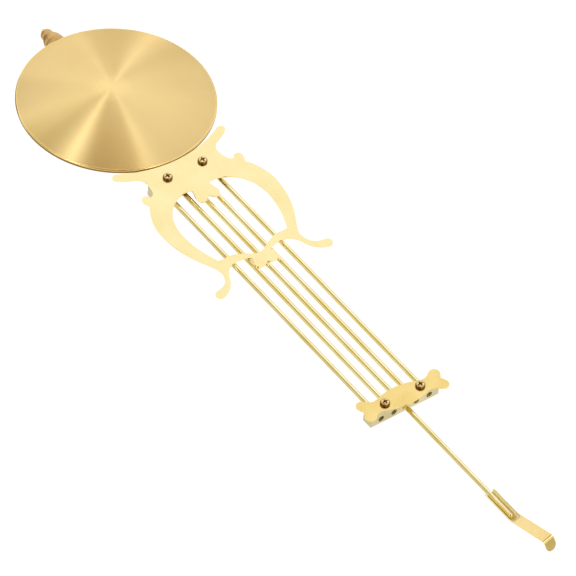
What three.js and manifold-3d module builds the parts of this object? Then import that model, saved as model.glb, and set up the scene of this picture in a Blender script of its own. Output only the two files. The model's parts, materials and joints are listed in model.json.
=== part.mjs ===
// A lyre pendulum for a clock: a weighted bob on a rating nut, five rods between two brackets,
// a lyre plate, a small crest plate and the hook that it hangs by. Millimetres, Z up, front -Y.
// Pieces are made round the middle of the bob's front rim. The whole group is then moved so
// that the middle of the hook's seat is the origin.
import * as THREE from 'three';
import { mergeVertices } from 'three/addons/utils/BufferGeometryUtils.js';
import Module from 'manifold-3d';

const wasm = await Module();
wasm.setup();

// Clearances
const seatGap = 0.1; // between faces that bear on each other
const holeGap = 0.3; // round a rod, screw or rivet in its hole, on the radius
const slideGap = 0.1; // round the rod in the rating nut and the lugs, on the radius
const overrun = 1; // how far a cutting tool passes the face that it cuts

// Bob
const bobRadius = 55;
const domeHeight = 8;
const bobSheet = 0.6;
const rimDepth = 2.4;
const rimRound = 0.8;
const rimLip = 1.8;
const backSheet = 0.8;
const weightRadius = 28;
const weightGap = 0.8; // between the weight's edge and the dome

// Rods
const rodRadius = 1.5;
const rodDepth = 6.3; // from the bob's front rim back to the rods' axes
const innerRodOffset = 7.3;
const outerRodOffset = 15.7;
const rodEndSink = 0.6; // from a bracket's outer face in to the end of a side rod
const rodTopRound = 1.2;
const rodTipRadius = 1;
const rodTipLength = 1.4; // the tapered stretch at the centre rod's lower end
const rodAboveBrackets = 90.6;
const rodBelowNut = 1.9;

// Plates and brackets
const plateSheet = 0.8;
const plateSetback = 0.2; // from the bob's front rim back to the plates' front faces
const bracketSpan = 200.4; // between the brackets' outer faces
const bracketHalfLength = 22;
const bracketHeight = 7;
const bracketDepth = 9;
const bracketSheet = 0.9;
const bracketRound = 0.9;
const screwInset = 3.2; // from a bracket's outer face in to its screws' axes

// Lyre plate
const lyreGap = 0.8; // from the bob up to the middle of the lyre's foot
const lyreScrewRise = 8.4; // from there up to the screws
const lyreHalfWidth = 38.4;
const lyreRise = 93;
const lyreHollowRadius = 70;
const lyreHornRadius = 2.35;
const lyreHornReach = 34.6; // from the middle out to the centre of a horn's round end
const lyreLean = 3; // degrees, backwards above the bracket

// Crest plate
const crestHalfLength = 26;
const crestHalfHeight = 6.7;
const crestTilt = 2.8; // degrees, its right end down: it is screwed on a little askew

// Screws
const screwRadius = 1.5;
const screwLength = 11.5;
const screwHeadRadius = 2.7;
const screwHeadHeight = 1.9;
const crossLength = 3;
const crossWidth = 0.75;
const crossDepth = 1.1;

// Lugs on the bob's back, and rivets
const lugWidth = 8.6;
const lugSheet = 1.2;
const lugFoot = 10;
const lugBend = 1.5;
const rivetSpacing = 4.6;
const rivetRadius = 1.1;
const rivetHeadRadius = 1.9;
const rivetHeadHeight = 0.8;
const rivetTailHeight = 0.4;

// Rating nut
const nutRadius = 5.8;
const nutLength = 13.4;

// Hook
const hookWidth = 6.3; // at its bend
const hookSheet = 0.6;
const hookGap = 0.2; // round the rod in the hook's groove
const hookRise = 1.9; // from the rod's axis forwards to the strip
const hookLip = 0.45; // round the groove's edges, to the middle of the sheet
const hookFlange = 0.1; // flat sheet beyond the groove's edges
const hookClipLength = 18.6;
const hookSplay = 15; // degrees, the groove's sides outwards
const hookRamp = 6; // over which the groove runs out into the flat strip
const hookKink = 3.6; // over which the strip turns from the rod's line to its lean
const rodAboveClip = 0.5;
const hookTabLength = 28.5; // from the clip's top to the bend's corner
const hookEndLength = 7.9; // from the bend's corner to the rounded end
const hookBend = 1.4; // to the middle of the sheet
const hookSeatReach = 4; // from the bend's corner to the middle of the seat
const hookTabLean = 14.2; // degrees, forwards
const hookEndTilt = 73; // degrees, backwards from upright
const hookTurn = 12.5; // degrees, the hook's turn on the rod
const hookCant = 6.4; // degrees, the tab's lean towards the left

// Smoothness
const bobSegments = 72;
const roundSegments = 20;
const domeRings = 8;
const splineSteps = 3;
const arcSteps = 6;
const hookRampSteps = 8;
const hookBendSteps = 8;
const roundEndShare = 0.95; // of a quarter turn, at which the hook's rounded end stops

// Places that follow from the sizes
const footLevel = bobRadius + lyreGap;
const lyreScrewLevel = footLevel + lyreScrewRise;
const lowerWebLevel = lyreScrewLevel - screwInset;
const upperWebLevel = lowerWebLevel + bracketSpan;
const crestScrewLevel = upperWebLevel - screwInset;
const lyreBendLevel = lowerWebLevel + bracketHeight;
const screwOffset = (innerRodOffset + outerRodOffset) / 2;
const bracketFront = plateSetback + plateSheet + seatGap;
const bracketBack = bracketFront + bracketDepth;
const backRear = rimDepth - bobSheet - seatGap;
const backFront = backRear - backSheet;
const lugFront = backRear + seatGap;
const lugRear = lugFront + lugSheet;
const lugLevel = weightRadius + lugFoot;
const lugRivetLevel = lugLevel - (lugFoot + lugBend + lugSheet / 2) / 2;
const nutTop = -bobRadius - seatGap;
const nutBottom = nutTop - nutLength;
const rodBottom = nutBottom - rodBelowNut;
const rodTop = upperWebLevel + rodAboveBrackets;
const clipTop = rodTop - rodAboveClip;
const clipBottom = clipTop - hookClipLength;

// The lyre's right half: [share of the half width, share of the rise] from its foot's middle
const neckShares = [
  [0.872, -0.029], [0.781, -0.010], [0.703, 0.005], [0.641, 0.026], [0.609, 0.057],
  [0.607, 0.090], [0.625, 0.127], [0.664, 0.154], [0.719, 0.165],
];
const earShares = [
  [0.719, 0.165], [0.745, 0.146], [0.794, 0.140], [0.841, 0.147], [0.859, 0.168],
  [0.849, 0.191], [0.818, 0.216],
];
const bowlShares = [
  [0.818, 0.216], [0.891, 0.261], [0.951, 0.319], [0.990, 0.384], [0.995, 0.450],
  [0.971, 0.532], [0.917, 0.619], [0.839, 0.695], [0.755, 0.758], [0.693, 0.810],
  [0.677, 0.843], [0.693, 0.878], [0.740, 0.913], [0.815, 0.934], [0.901, 0.942],
  [0.964, 0.949], [0.992, 0.971], [0.971, 0.991], [0.917, 1.000], [0.828, 0.989],
  [0.740, 0.964], [0.667, 0.928], [0.622, 0.886], [0.570, 0.854], [0.503, 0.832],
  [0.422, 0.821], [0.339, 0.819], [0.260, 0.824], [0.208, 0.832], [0.164, 0.843],
];
const rosetteShares = [
  [0.164, 0.843], [0.169, 0.862], [0.190, 0.882], [0.193, 0.900], [0.167, 0.918],
  [0.120, 0.926], [0.065, 0.924], [0.023, 0.915], [0.000, 0.905],
];
const budShares = [
  [0.000, 0.326], [0.031, 0.333], [0.068, 0.349], [0.109, 0.355], [0.151, 0.348],
  [0.180, 0.331], [0.185, 0.310], [0.172, 0.286], [0.154, 0.263], [0.151, 0.249],
  [0.164, 0.239],
];
const windowSideShares = [
  [0.164, 0.239], [0.273, 0.238], [0.372, 0.249], [0.479, 0.271], [0.578, 0.306],
  [0.656, 0.349], [0.708, 0.395], [0.740, 0.455], [0.742, 0.521], [0.724, 0.592],
  [0.682, 0.663], [0.635, 0.717], [0.594, 0.760],
];
const windowTopShares = [
  [0.594, 0.760], [0.508, 0.765], [0.417, 0.762], [0.328, 0.770], [0.245, 0.784],
  [0.169, 0.800], [0.089, 0.820], [0.000, 0.831],
];
// The crest's upper right quarter: [share of the half length, share of the half height]
const crestShares = [
  [0.000, 1.000], [0.231, 0.925], [0.423, 0.731], [0.596, 0.552], [0.700, 0.687],
  [0.785, 0.940], [0.881, 1.075], [0.969, 0.940], [1.000, 0.612], [0.973, 0.313],
  [0.927, 0.000],
];
// The nut's side, from its flange down: [share of the radius, share of the length]
const nutShares = [
  [0.93, 0.00], [1.00, 0.03], [1.00, 0.26], [0.93, 0.41], [0.85, 0.52], [0.76, 0.60],
  [0.67, 0.66], [0.63, 0.70], [0.62, 0.78], [0.58, 0.89], [0.48, 0.96], [0.38, 0.99],
  [0.34, 1.00],
];
const headEdgeShare = 0.35; // of a screw head's height, straight before its crown

const finishes = {
  plate: { color: 0xfeebac, roughness: 0.35, metalness: 1 },
  crest: { color: 0xf5da8c, roughness: 0.35, metalness: 1 },
  bob: { color: 0xe8cb8c, roughness: 0.4, metalness: 1 },
  steel: { color: 0xb9b4a4, roughness: 0.45, metalness: 1 },
  rod: { color: 0xe6cf78, roughness: 0.2, metalness: 1 },
  bracket: { color: 0xcdbe8c, roughness: 0.45, metalness: 1 },
  hook: { color: 0xf0d488, roughness: 0.3, metalness: 1 },
  nut: { color: 0xc8a86e, roughness: 0.3, metalness: 1 },
  screw: { color: 0x8a5220, roughness: 0.3, metalness: 1 },
  iron: { color: 0x4a4a4c, roughness: 0.8, metalness: 0.6 },
};

const sides = [['left', -1], ['right', 1]];
const levels = [['upper', 1], ['lower', -1]];
const sideRods = [
  ['outer_left', -outerRodOffset],
  ['inner_left', -innerRodOffset],
  ['inner_right', innerRodOffset],
  ['outer_right', outerRodOffset],
];

// A closed solid from a geometry, with its shared corners merged and its faces turned out
function solidOf(geometry) {
  const bare = geometry.clone();
  bare.deleteAttribute('normal');
  bare.deleteAttribute('uv');
  const merged = mergeVertices(bare);
  const places = merged.getAttribute('position');
  const corners = Array.from(merged.getIndex().array);
  const faces = [];
  let volume = 0;
  for (let i = 0; i < corners.length; i += 3) {
    const face = corners.slice(i, i + 3);
    if (new Set(face).size < 3) continue;
    const [a, b, c] = face.map((k) => new THREE.Vector3().fromBufferAttribute(places, k));
    volume += a.dot(b.cross(c));
    faces.push(face);
  }
  const outward = volume > 0 ? faces : faces.map((face) => [...face].reverse());
  return new wasm.Manifold(new wasm.Mesh({
    numProp: 3,
    vertProperties: new Float32Array(places.array),
    triVerts: new Uint32Array(outward.flat()),
  }));
}

// A named mesh of one solid
function piece(name, solid, finish) {
  const { vertProperties, triVerts } = solid.getMesh();
  const geometry = new THREE.BufferGeometry();
  geometry.setAttribute('position', new THREE.BufferAttribute(vertProperties, 3));
  geometry.setIndex(new THREE.BufferAttribute(triVerts, 1));
  geometry.computeVertexNormals();
  const mesh = new THREE.Mesh(geometry, new THREE.MeshStandardMaterial(finishes[finish]));
  mesh.name = name;
  return mesh;
}

// Outlines are lists of points in a plane
const point = (x, y) => new THREE.Vector2(x, y);

const smooth = (points) => new THREE.SplineCurve(points)
  .getPoints((points.length - 1) * splineSteps);

function arc(x, y, radius, from, to) {
  return Array.from({ length: arcSteps + 1 }, (_, i) => {
    const angle = from + ((to - from) * i) / arcSteps;
    return point(x + radius * Math.cos(angle), y + radius * Math.sin(angle));
  });
}

const circle = (x, y, radius) => Array.from({ length: roundSegments }, (_, i) => {
  const angle = (2 * Math.PI * i) / roundSegments;
  return point(x + radius * Math.cos(angle), y + radius * Math.sin(angle));
});

// Stretches end to end, without the points where one ends and the next starts
function joined(...stretches) {
  const points = stretches.flat();
  return points.filter((p, i) => i === 0 || !p.equals(points[i - 1]));
}

// A right half that starts and ends on the middle line, closed by its mirror image
function mirrored(half) {
  return [...half, ...half.slice(1, -1).reverse().map((p) => point(-p.x, p.y))];
}

// A bent strip seen from its edge: straight runs and arcs along a middle line
function stripOutline(corners, bend, sheet) {
  const middle = corners.flatMap((corner, i) => {
    if (i === 0 || i === corners.length - 1) return [corner];
    const before = corners[i - 1].clone().sub(corner).normalize();
    const after = corners[i + 1].clone().sub(corner).normalize();
    const half = Math.acos(before.dot(after)) / 2;
    const inward = before.clone().add(after).normalize();
    const centre = corner.clone().addScaledVector(inward, bend / Math.sin(half));
    const reach = bend / Math.tan(half);
    const start = corner.clone().addScaledVector(before, reach).sub(centre).angle();
    const end = corner.clone().addScaledVector(after, reach).sub(centre).angle();
    const sweep = Math.atan2(Math.sin(end - start), Math.cos(end - start));
    return arc(centre.x, centre.y, bend, start, start + sweep);
  });
  const side = (offset) => middle.map((p, i) => {
    const from = middle[Math.max(i - 1, 0)];
    const along = middle[Math.min(i + 1, middle.length - 1)].clone().sub(from).normalize();
    return point(p.x - along.y * offset, p.y + along.x * offset);
  });
  return [...side(sheet / 2), ...side(-sheet / 2).reverse()];
}

// Solids from outlines
function extruded(outline, depth, holes, matrix) {
  const shape = new THREE.Shape(outline);
  shape.holes = holes.map((hole) => new THREE.Path(hole));
  const geometry = new THREE.ExtrudeGeometry(shape, { depth, bevelEnabled: false });
  return solidOf(geometry.applyMatrix4(matrix));
}

// An outline in X and Z, and a sheet that runs back from it
function plateSolid(outline, front, sheet, holes) {
  const stand = new THREE.Matrix4().makeRotationX(Math.PI / 2);
  return extruded(outline, sheet, holes, stand.setPosition(0, front + sheet, 0));
}

// An outline in Y and Z, and a strip of some width centred on it
function sideSolid(outline, width) {
  const turn = new THREE.Matrix4().makeRotationFromEuler(
    new THREE.Euler(Math.PI / 2, 0, Math.PI / 2, 'ZXY'));
  return extruded(outline, width, [], turn.setPosition(-width / 2, 0, 0));
}

// A turned solid, upright through x and y, with a profile of [radius, z]
function turnedUpright(profile, x, y) {
  const points = profile.map(([radius, z]) => point(radius, z));
  const geometry = new THREE.LatheGeometry(points, roundSegments);
  return solidOf(geometry.rotateX(Math.PI / 2).translate(x, y, 0));
}

// A turned solid, front to back through x and z, with a profile of [radius, y]
function turnedBack(profile, x, z, segments) {
  const points = profile.map(([radius, y]) => point(radius, y));
  return solidOf(new THREE.LatheGeometry(points, segments).translate(x, 0, z));
}

const cylinderProfile = (radius, from, to) => [[0, from], [radius, from], [radius, to], [0, to]];

const uprightPin = (radius, x, y, from, to) => turnedUpright(
  cylinderProfile(radius, from, to), x, y);

const backPin = (radius, x, z, from, to) => turnedBack(
  cylinderProfile(radius, from, to), x, z, roundSegments);

function box(from, to) {
  const size = to.clone().sub(from);
  const centre = from.clone().lerp(to, 0.5);
  const geometry = new THREE.BoxGeometry(...size.toArray().map(Math.abs));
  return solidOf(geometry.translate(...centre.toArray()));
}

const cutFrom = (solid, tools) => tools.reduce((rest, tool) => rest.subtract(tool), solid);

// The dome's depth at a radius, for a face that lies inside the front one by inset
function domeDepth(radius, inset) {
  const reach = bobRadius - rimRound;
  const sphere = (reach ** 2 + domeHeight ** 2) / (2 * domeHeight);
  return sphere - domeHeight - Math.sqrt((sphere - inset) ** 2 - radius ** 2);
}

// The bob's front: a domed sheet with a rounded rim and a lip that holds the back plate
function bobFront() {
  const reach = bobRadius - rimRound;
  const radii = Array.from({ length: domeRings }, (_, i) => (reach * i) / domeRings);
  const lipInside = bobRadius - rimLip;
  const wallInside = bobRadius - bobSheet;
  return turnedBack([
    ...radii.map((radius) => [radius, domeDepth(radius, 0)]),
    ...arc(reach, rimRound, rimRound, -Math.PI / 2, 0).map((p) => p.toArray()),
    [bobRadius, rimDepth],
    [lipInside, rimDepth],
    [lipInside, rimDepth - bobSheet],
    [wallInside, rimDepth - bobSheet],
    [wallInside, rimRound],
    ...radii.map((radius) => [radius, domeDepth(radius, bobSheet)]).reverse(),
  ], 0, 0, bobSegments);
}

const rivetPlaces = [
  { name: 'weight_rivet', x: 0, z: 0, up: 0 },
  ...levels.flatMap(([level, up]) => sides.map(([side, right]) => ({
    name: `${level}_${side}_rivet`, x: (right * rivetSpacing) / 2, z: up * lugRivetLevel, up,
  }))),
];

const rivetHoles = (places, from, to) => places.map(({ x, z }) => backPin(
  rivetRadius + holeGap, x, z, from - overrun, to + overrun));

function bobBack() {
  const radius = bobRadius - bobSheet - holeGap;
  const disc = turnedBack(cylinderProfile(radius, backFront, backRear), 0, 0, bobSegments);
  return cutFrom(disc, rivetHoles(rivetPlaces, backFront, backRear));
}

// The weight fills the bob's middle, as thick as the dome allows at its edge
const weightRear = backFront - seatGap;
const weightFront = domeDepth(weightRadius, bobSheet) + weightGap;

function bobWeight() {
  const profile = cylinderProfile(weightRadius, weightFront, weightRear);
  const hole = rivetHoles([{ x: 0, z: 0 }], weightFront, weightRear);
  return cutFrom(turnedBack(profile, 0, 0, bobSegments), hole);
}

// A rivet through the sheets between two faces, with a round head behind and a flat tail
function rivet(x, z, front, rear) {
  const tail = front - seatGap;
  const head = rear + seatGap;
  const crown = Array.from({ length: arcSteps }, (_, i) => {
    const angle = (Math.PI * i) / (2 * arcSteps);
    return [rivetHeadRadius * Math.cos(angle), head + rivetHeadHeight * Math.sin(angle)];
  });
  return turnedBack([
    [0, tail - rivetTailHeight],
    [rivetHeadRadius, tail - rivetTailHeight],
    [rivetHeadRadius, tail],
    [rivetRadius, tail],
    [rivetRadius, head],
    ...crown,
    [0, head + rivetHeadHeight],
  ], x, z, roundSegments);
}

// A lug: a strip bent square, its foot on the back plate and its upright round the rod
function lug(up) {
  const middle = lugSheet / 2;
  const corners = [
    point(lugFront + middle, up * (lugLevel - lugFoot)),
    point(lugFront + middle, up * (lugLevel - middle)),
    point(rodDepth, up * (lugLevel - middle)),
  ];
  const [low, high] = [up * lugLevel, up * (lugLevel - lugSheet)].sort((a, b) => a - b);
  const strip = sideSolid(stripOutline(corners, lugBend, lugSheet), lugWidth);
  const eye = uprightPin(lugWidth / 2, 0, rodDepth, low, high);
  const ownRivets = rivetPlaces.filter((place) => place.up === up);
  return cutFrom(strip.add(eye), [
    uprightPin(rodRadius + slideGap, 0, rodDepth, low - overrun, high + overrun),
    ...rivetHoles(ownRivets, lugFront, lugRear),
  ]);
}

// A nut that screws along the rod's lower end: a flange that carries the bob, and a dome
function ratingNut() {
  const bore = rodRadius + slideGap;
  const side = nutShares.map(([r, down]) => [r * nutRadius, nutTop - down * nutLength]);
  const profile = [[bore, nutTop], ...side, [bore, nutBottom], [bore, nutTop]];
  return turnedUpright(profile, 0, rodDepth);
}

const sideRod = (x) => uprightPin(
  rodRadius, x, rodDepth, lowerWebLevel + rodEndSink, upperWebLevel - rodEndSink);

function centreRod() {
  const middle = rodRadius - rodTopRound;
  const top = arc(middle, rodTop - rodTopRound, rodTopRound, 0, Math.PI / 2);
  return turnedUpright([
    [0, rodBottom],
    [rodTipRadius, rodBottom],
    [rodRadius, rodBottom + rodTipLength],
    ...top.map((p) => p.toArray()),
    [0, rodTop],
  ], 0, rodDepth);
}

// A bracket: a channel with closed ends, its web at a level and its open side inward of that
function bracket(web, inward) {
  const open = web + inward * bracketHeight;
  const roundLevel = web + inward * bracketRound;
  const quarter = (inward * Math.PI) / 2;
  const outline = [
    point(bracketFront, open),
    ...arc(bracketFront + bracketRound, roundLevel, bracketRound, Math.PI, Math.PI + quarter),
    ...arc(bracketBack - bracketRound, roundLevel, bracketRound, -quarter, 0),
    point(bracketBack, open),
  ];
  const inside = bracketHalfLength - bracketSheet;
  const hollow = box(
    new THREE.Vector3(-inside, bracketFront + bracketSheet, web + inward * bracketSheet),
    new THREE.Vector3(inside, bracketBack - bracketSheet, open + inward * overrun),
  );
  const rodHoles = [0, ...sideRods.map(([, x]) => x)].map((x) => uprightPin(
    rodRadius + holeGap, x, rodDepth, web - overrun, web + overrun));
  const screwHoles = sides.map(([, right]) => backPin(
    screwRadius + holeGap, right * screwOffset, web + inward * screwInset,
    bracketFront - overrun, bracketBack + overrun));
  return cutFrom(
    sideSolid(outline, 2 * bracketHalfLength), [hollow, ...rodHoles, ...screwHoles]);
}

const screwHolesAt = (level) => sides.map(([, right]) => circle(
  right * screwOffset, level, screwRadius + holeGap));

const lyrePoints = (shares) => smooth(shares.map(([across, up]) => point(
  across * lyreHalfWidth, footLevel + up * lyreRise)));

// The lyre's foot: a hollow edge over the bob, and a round end to the horn
function lyreFoot() {
  const middle = footLevel - lyreHollowRadius;
  const hornArc = lyreHollowRadius + lyreHornRadius;
  const swing = Math.asin(lyreHornReach / hornArc);
  const start = 1.5 * Math.PI - swing;
  return [
    ...arc(0, middle, lyreHollowRadius, Math.PI / 2, Math.PI / 2 - swing),
    ...arc(lyreHornReach, middle + hornArc * Math.cos(swing), lyreHornRadius,
      start, start + Math.PI),
  ];
}

// The lyre plate is flat on its bracket and leans back above it
function lyrePlate() {
  const outer = joined(
    lyreFoot(), lyrePoints(neckShares), lyrePoints(earShares), lyrePoints(bowlShares),
    lyrePoints(rosetteShares));
  const window = joined(
    lyrePoints(budShares), lyrePoints(windowSideShares), lyrePoints(windowTopShares));
  const flat = plateSolid(
    mirrored(outer), plateSetback, plateSheet, [mirrored(window), ...screwHolesAt(lyreScrewLevel)]);
  const reach = lyreHalfWidth + overrun;
  const below = box(
    new THREE.Vector3(-reach, plateSetback - overrun, -overrun),
    new THREE.Vector3(reach, plateSetback + plateSheet + overrun, lyreBendLevel),
  );
  const hinge = new THREE.Matrix4().makeTranslation(0, plateSetback, lyreBendLevel);
  const lean = new THREE.Matrix4().makeRotationX(-THREE.MathUtils.degToRad(lyreLean));
  const bend = hinge.clone().multiply(lean).multiply(hinge.clone().invert());
  return flat.intersect(below).add(flat.subtract(below).transform(bend.toArray()));
}

function crestPlate() {
  const quarter = smooth(crestShares.map(([across, up]) => point(
    across * crestHalfLength, up * crestHalfHeight)));
  const half = joined(quarter, quarter.map((p) => point(p.x, -p.y)).reverse());
  const tilt = -THREE.MathUtils.degToRad(crestTilt);
  const level = point(0, crestScrewLevel);
  const outline = mirrored(half).map((p) => p.rotateAround(point(0, 0), tilt).add(level));
  return plateSolid(outline, plateSetback, plateSheet, screwHolesAt(crestScrewLevel));
}

// A screw with a crowned head and a cross recess, driven from the front
function screw(x, z) {
  const under = plateSetback - seatGap;
  const top = under - screwHeadHeight;
  const edge = under - headEdgeShare * screwHeadHeight;
  const crown = Array.from({ length: arcSteps }, (_, i) => {
    const angle = (Math.PI * i) / (2 * arcSteps);
    return [screwHeadRadius * Math.sin(angle), edge + (top - edge) * Math.cos(angle)];
  });
  const solid = turnedBack([
    ...crown,
    [screwHeadRadius, edge],
    [screwHeadRadius, under],
    [screwRadius, under],
    [screwRadius, under + screwLength],
    [0, under + screwLength],
  ], x, z, roundSegments);
  const slots = [[crossLength, crossWidth], [crossWidth, crossLength]].map(([wide, tall]) => box(
    new THREE.Vector3(x - wide / 2, top - overrun, z - tall / 2),
    new THREE.Vector3(x + wide / 2, top + crossDepth, z + tall / 2),
  ));
  return cutFrom(solid, slots);
}

// A sheet from the rows of points on its middle surface, with as many points in each row
function sheetSolid(rows, sheet) {
  const lastRow = rows.length - 1;
  const lastPoint = rows[0].length - 1;
  const sides = rows.map((row, r) => row.map((place, i) => {
    const along = rows[Math.min(r + 1, lastRow)][i].clone().sub(rows[Math.max(r - 1, 0)][i]);
    const across = row[Math.min(i + 1, lastPoint)].clone().sub(row[Math.max(i - 1, 0)]);
    const normal = across.cross(along).normalize();
    return [sheet / 2, -sheet / 2].map((rise) => place.clone().addScaledVector(normal, rise));
  }));
  const quads = [];
  for (let r = 0; r < lastRow; r += 1) {
    for (let i = 0; i < lastPoint; i += 1) {
      const [a, b, c, d] = [[r, i], [r, i + 1], [r + 1, i + 1], [r + 1, i]];
      quads.push([a, b, c, d].map(([k, j]) => sides[k][j][0]));
      quads.push([d, c, b, a].map(([k, j]) => sides[k][j][1]));
    }
    const [low, high] = [sides[r], sides[r + 1]];
    quads.push([low[0][0], high[0][0], high[0][1], low[0][1]]);
    quads.push([low[lastPoint][0], low[lastPoint][1], high[lastPoint][1], high[lastPoint][0]]);
  }
  for (let i = 0; i < lastPoint; i += 1) {
    const [first, last] = [sides[0], sides[lastRow]];
    quads.push([first[i][0], first[i][1], first[i + 1][1], first[i + 1][0]]);
    quads.push([last[i][0], last[i + 1][0], last[i + 1][1], last[i][1]]);
  }
  const geometry = new THREE.BufferGeometry().setFromPoints(
    quads.flatMap(([a, b, c, d]) => [a, b, c, a, c, d]));
  return solidOf(geometry);
}

// The hook, in its groove's own axes: X across, Y back, and the origin on the rod's axis at the
// top of the clip. One strip runs up the clip, out of the groove, round the bend and to its end.
const grooveRadius = rodRadius + hookGap + hookSheet / 2;
const hookLengths = (() => {
  const fold = THREE.MathUtils.degToRad(hookTabLean + hookEndTilt);
  const corner = hookBend * Math.tan(fold / 2);
  const bendStart = hookTabLength - corner;
  const bendEnd = bendStart + hookBend * fold;
  const end = bendEnd + hookEndLength - corner;
  return { fold, corner, bendStart, bendEnd, end, seat: bendEnd + hookSeatReach - corner };
})();

// Half of the groove's section from its bottom out, as how far across and how far behind the strip
const grooveSection = (() => {
  const splay = THREE.MathUtils.degToRad(hookSplay);
  const bottom = arc(0, hookRise, grooveRadius, Math.PI / 2, splay);
  const foot = bottom[bottom.length - 1];
  const rise = foot.y - hookLip + hookLip * Math.sin(splay);
  const edge = foot.x + rise * Math.tan(splay) + hookLip * Math.cos(splay);
  const lip = arc(edge, hookLip, hookLip, Math.PI + splay, 1.5 * Math.PI);
  return [...bottom, ...lip, point(edge + hookFlange, 0)];
})();
const grooveHalfWidth = grooveSection[grooveSection.length - 1].x;
const flatSection = (() => {
  const reach = [0];
  for (let i = 1; i < grooveSection.length; i += 1) {
    reach.push(reach[i - 1] + grooveSection[i].distanceTo(grooveSection[i - 1]));
  }
  return reach.map((r) => r / reach[reach.length - 1]);
})();

function hookTurnAt(length) {
  const { fold, bendStart, bendEnd } = hookLengths;
  const out = THREE.MathUtils.smoothstep(length, 0, hookKink);
  const round = THREE.MathUtils.clamp((length - bendStart) / (bendEnd - bendStart), 0, 1);
  const lean = THREE.MathUtils.degToRad(hookTabLean) * out - fold * round;
  return new THREE.Matrix4().makeRotationY(-THREE.MathUtils.degToRad(hookCant) * out)
    .multiply(new THREE.Matrix4().makeRotationX(lean));
}

function hookHalfWidthAt(length) {
  const { bendStart, end } = hookLengths;
  const share = THREE.MathUtils.clamp(length / bendStart, 0, 1);
  const half = THREE.MathUtils.lerp(grooveHalfWidth, hookWidth / 2, share);
  const past = length - (end - half);
  return past > 0 ? Math.sqrt(Math.max(half ** 2 - past ** 2, 0)) : half;
}

// The strip's lengths at which a row of points is made, with its place and turn there
const hookStations = (() => {
  const { bendStart, bendEnd, end, seat } = hookLengths;
  const steps = (from, to, count) => Array.from(
    { length: count }, (_, i) => from + ((to - from) * (i + 1)) / count);
  const round = hookWidth / 2;
  const roundEnd = arc(0, 0, round, 0, Math.PI / 2 * roundEndShare)
    .map((p) => end - round + p.y);
  const lengths = [
    -hookClipLength, ...steps(-hookClipLength, 0, 3), ...steps(0, hookRamp, hookRampSteps),
    ...steps(hookRamp, bendStart, 3), ...steps(bendStart, bendEnd, hookBendSteps),
    seat, ...roundEnd,
  ];
  const place = new THREE.Vector3(0, -hookRise, -hookClipLength);
  return lengths.map((length, i) => {
    if (i > 0) {
      const step = length - lengths[i - 1];
      const way = new THREE.Vector3(0, 0, step);
      place.add(way.applyMatrix4(hookTurnAt(length - step / 2)));
    }
    return { length, place: place.clone(), turn: hookTurnAt(length) };
  });
})();

// The whole hook turns on the rod
const hookTurned = new THREE.Matrix4()
  .makeRotationZ(THREE.MathUtils.degToRad(hookTurn))
  .setPosition(0, rodDepth, clipTop);

function hook() {
  const rows = hookStations.map(({ length, place, turn }) => {
    const deep = 1 - THREE.MathUtils.smoothstep(length, 0, hookRamp);
    const half = hookHalfWidthAt(length);
    const side = grooveSection.map((p, i) => point(
      THREE.MathUtils.lerp(flatSection[i] * half, p.x, deep), p.y * deep));
    const across = [...side.slice(1).reverse().map((p) => point(-p.x, p.y)), ...side];
    return across.map((p) => new THREE.Vector3(p.x, p.y, 0)
      .applyMatrix4(turn).add(place).applyMatrix4(hookTurned));
  });
  return sheetSolid(rows, hookSheet);
}

// The seat is under the end tab, on the middle of its flat
const hookSeat = (() => {
  const { place, turn } = hookStations.find(({ length }) => length === hookLengths.seat);
  return new THREE.Vector3(0, hookSheet / 2, 0)
    .applyMatrix4(turn).add(place).applyMatrix4(hookTurned);
})();

const group = new THREE.Group();
group.position.copy(hookSeat).negate();
group.add(
  piece('bob_front', bobFront(), 'bob'),
  piece('bob_back', bobBack(), 'steel'),
  piece('bob_weight', bobWeight(), 'iron'),
  ...rivetPlaces.map(({ name, x, z, up }) => piece(
    name, up ? rivet(x, z, backFront, lugRear) : rivet(x, z, weightFront, backRear), 'bob')),
  ...levels.map(([level, up]) => piece(`${level}_lug`, lug(up), 'steel')),
  piece('rating_nut', ratingNut(), 'nut'),
  piece('centre_rod', centreRod(), 'rod'),
  ...sideRods.map(([side, x]) => piece(`${side}_rod`, sideRod(x), 'rod')),
  piece('lower_bracket', bracket(lowerWebLevel, 1), 'bracket'),
  piece('upper_bracket', bracket(upperWebLevel, -1), 'bracket'),
  piece('lyre_plate', lyrePlate(), 'plate'),
  piece('crest_plate', crestPlate(), 'crest'),
  ...sides.flatMap(([side, right]) => [
    piece(`lyre_screw_${side}`, screw(right * screwOffset, lyreScrewLevel), 'screw'),
    piece(`crest_screw_${side}`, screw(right * screwOffset, crestScrewLevel), 'screw'),
  ]),
  piece('hook', hook(), 'hook'),
);

export default group;
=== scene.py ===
import json
import math

import bmesh
import bpy
from mathutils import Matrix, Vector


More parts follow.
